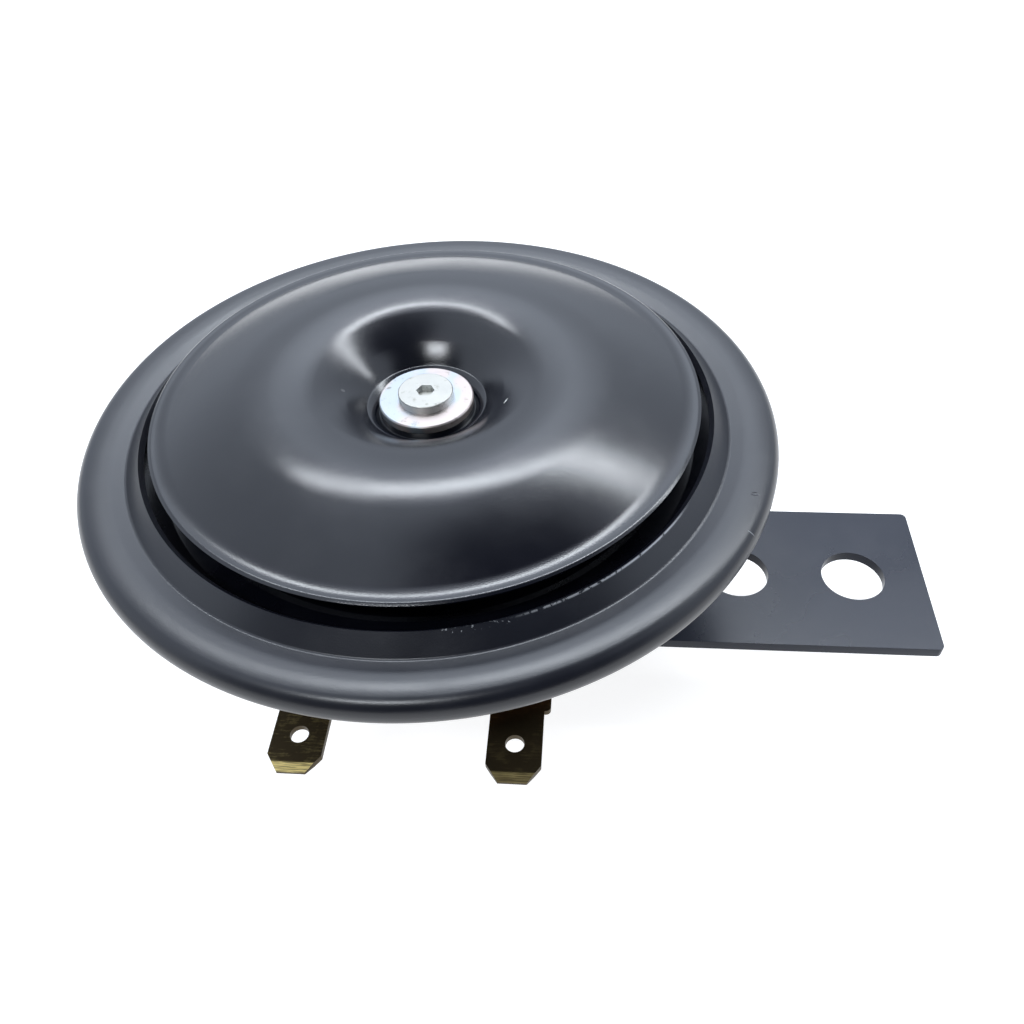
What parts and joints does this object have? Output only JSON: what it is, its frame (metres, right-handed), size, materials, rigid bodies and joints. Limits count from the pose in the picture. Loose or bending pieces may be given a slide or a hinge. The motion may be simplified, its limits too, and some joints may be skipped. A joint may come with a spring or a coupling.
{
  "type": "car horn",
  "caption": "Electric disc horn for a vehicle: a dished resonator over a diaphragm in a clamped rim, with push-on blade terminals and a flat mounting strip.",
  "frame": {"origin": "centre of the mounting strip's outer hole, on the strip's underside", "axes": "+Z is the way the horn sounds, along the hole; +X runs along the strip away from the horn; the blade terminals point towards -Y"},
  "size_m": [0.1109, 0.0862, 0.0478],
  "materials": {
    "black_enamel": "semi-gloss black stoved enamel on pressed steel",
    "zinc_plate": "bright zinc plate on turned steel",
    "blade_brass": "stamped brass, a little tarnished",
    "spring_bronze": "rolled phosphor bronze",
    "contact_silver": "satin contact metal",
    "screw_steel": "plain turned steel",
    "board_laminate": "paper laminate board",
    "moulded_nylon": "moulded nylon",
    "gasket_paper": "pressed gasket paper",
    "winding_copper": "enamelled winding wire"
  },
  "bodies": {
    "root": {"cover_ring": "black_enamel", "housing_shell": "black_enamel", "resonator_disc": "black_enamel", "bracket": "black_enamel", "diaphragm": "black_enamel", "rivet_washer": "zinc_plate", "armature": "zinc_plate", "pole_core": "zinc_plate", "jam_nut": "zinc_plate", "spring_washer": "zinc_plate", "hex_nut": "zinc_plate", "stem_collar": "zinc_plate", "terminal_left": "blade_brass", "terminal_right": "blade_brass", "terminal_rivet_left": "blade_brass", "terminal_rivet_right": "blade_brass", "contact_rivet": "blade_brass", "solder_tag": "blade_brass", "adjuster_bush": "blade_brass", "moving_arm": "spring_bronze", "fixed_arm": "spring_bronze", "moving_point": "contact_silver", "fixed_point": "contact_silver", "adjusting_screw": "screw_steel", "terminal_board": "board_laminate", "coil_bobbin": "moulded_nylon", "moving_block": "moulded_nylon", "tag_block": "moulded_nylon", "fixed_block": "moulded_nylon", "rear_gasket": "gasket_paper", "front_gasket": "gasket_paper", "coil_winding": "winding_copper"}
  },
  "joints": []
}
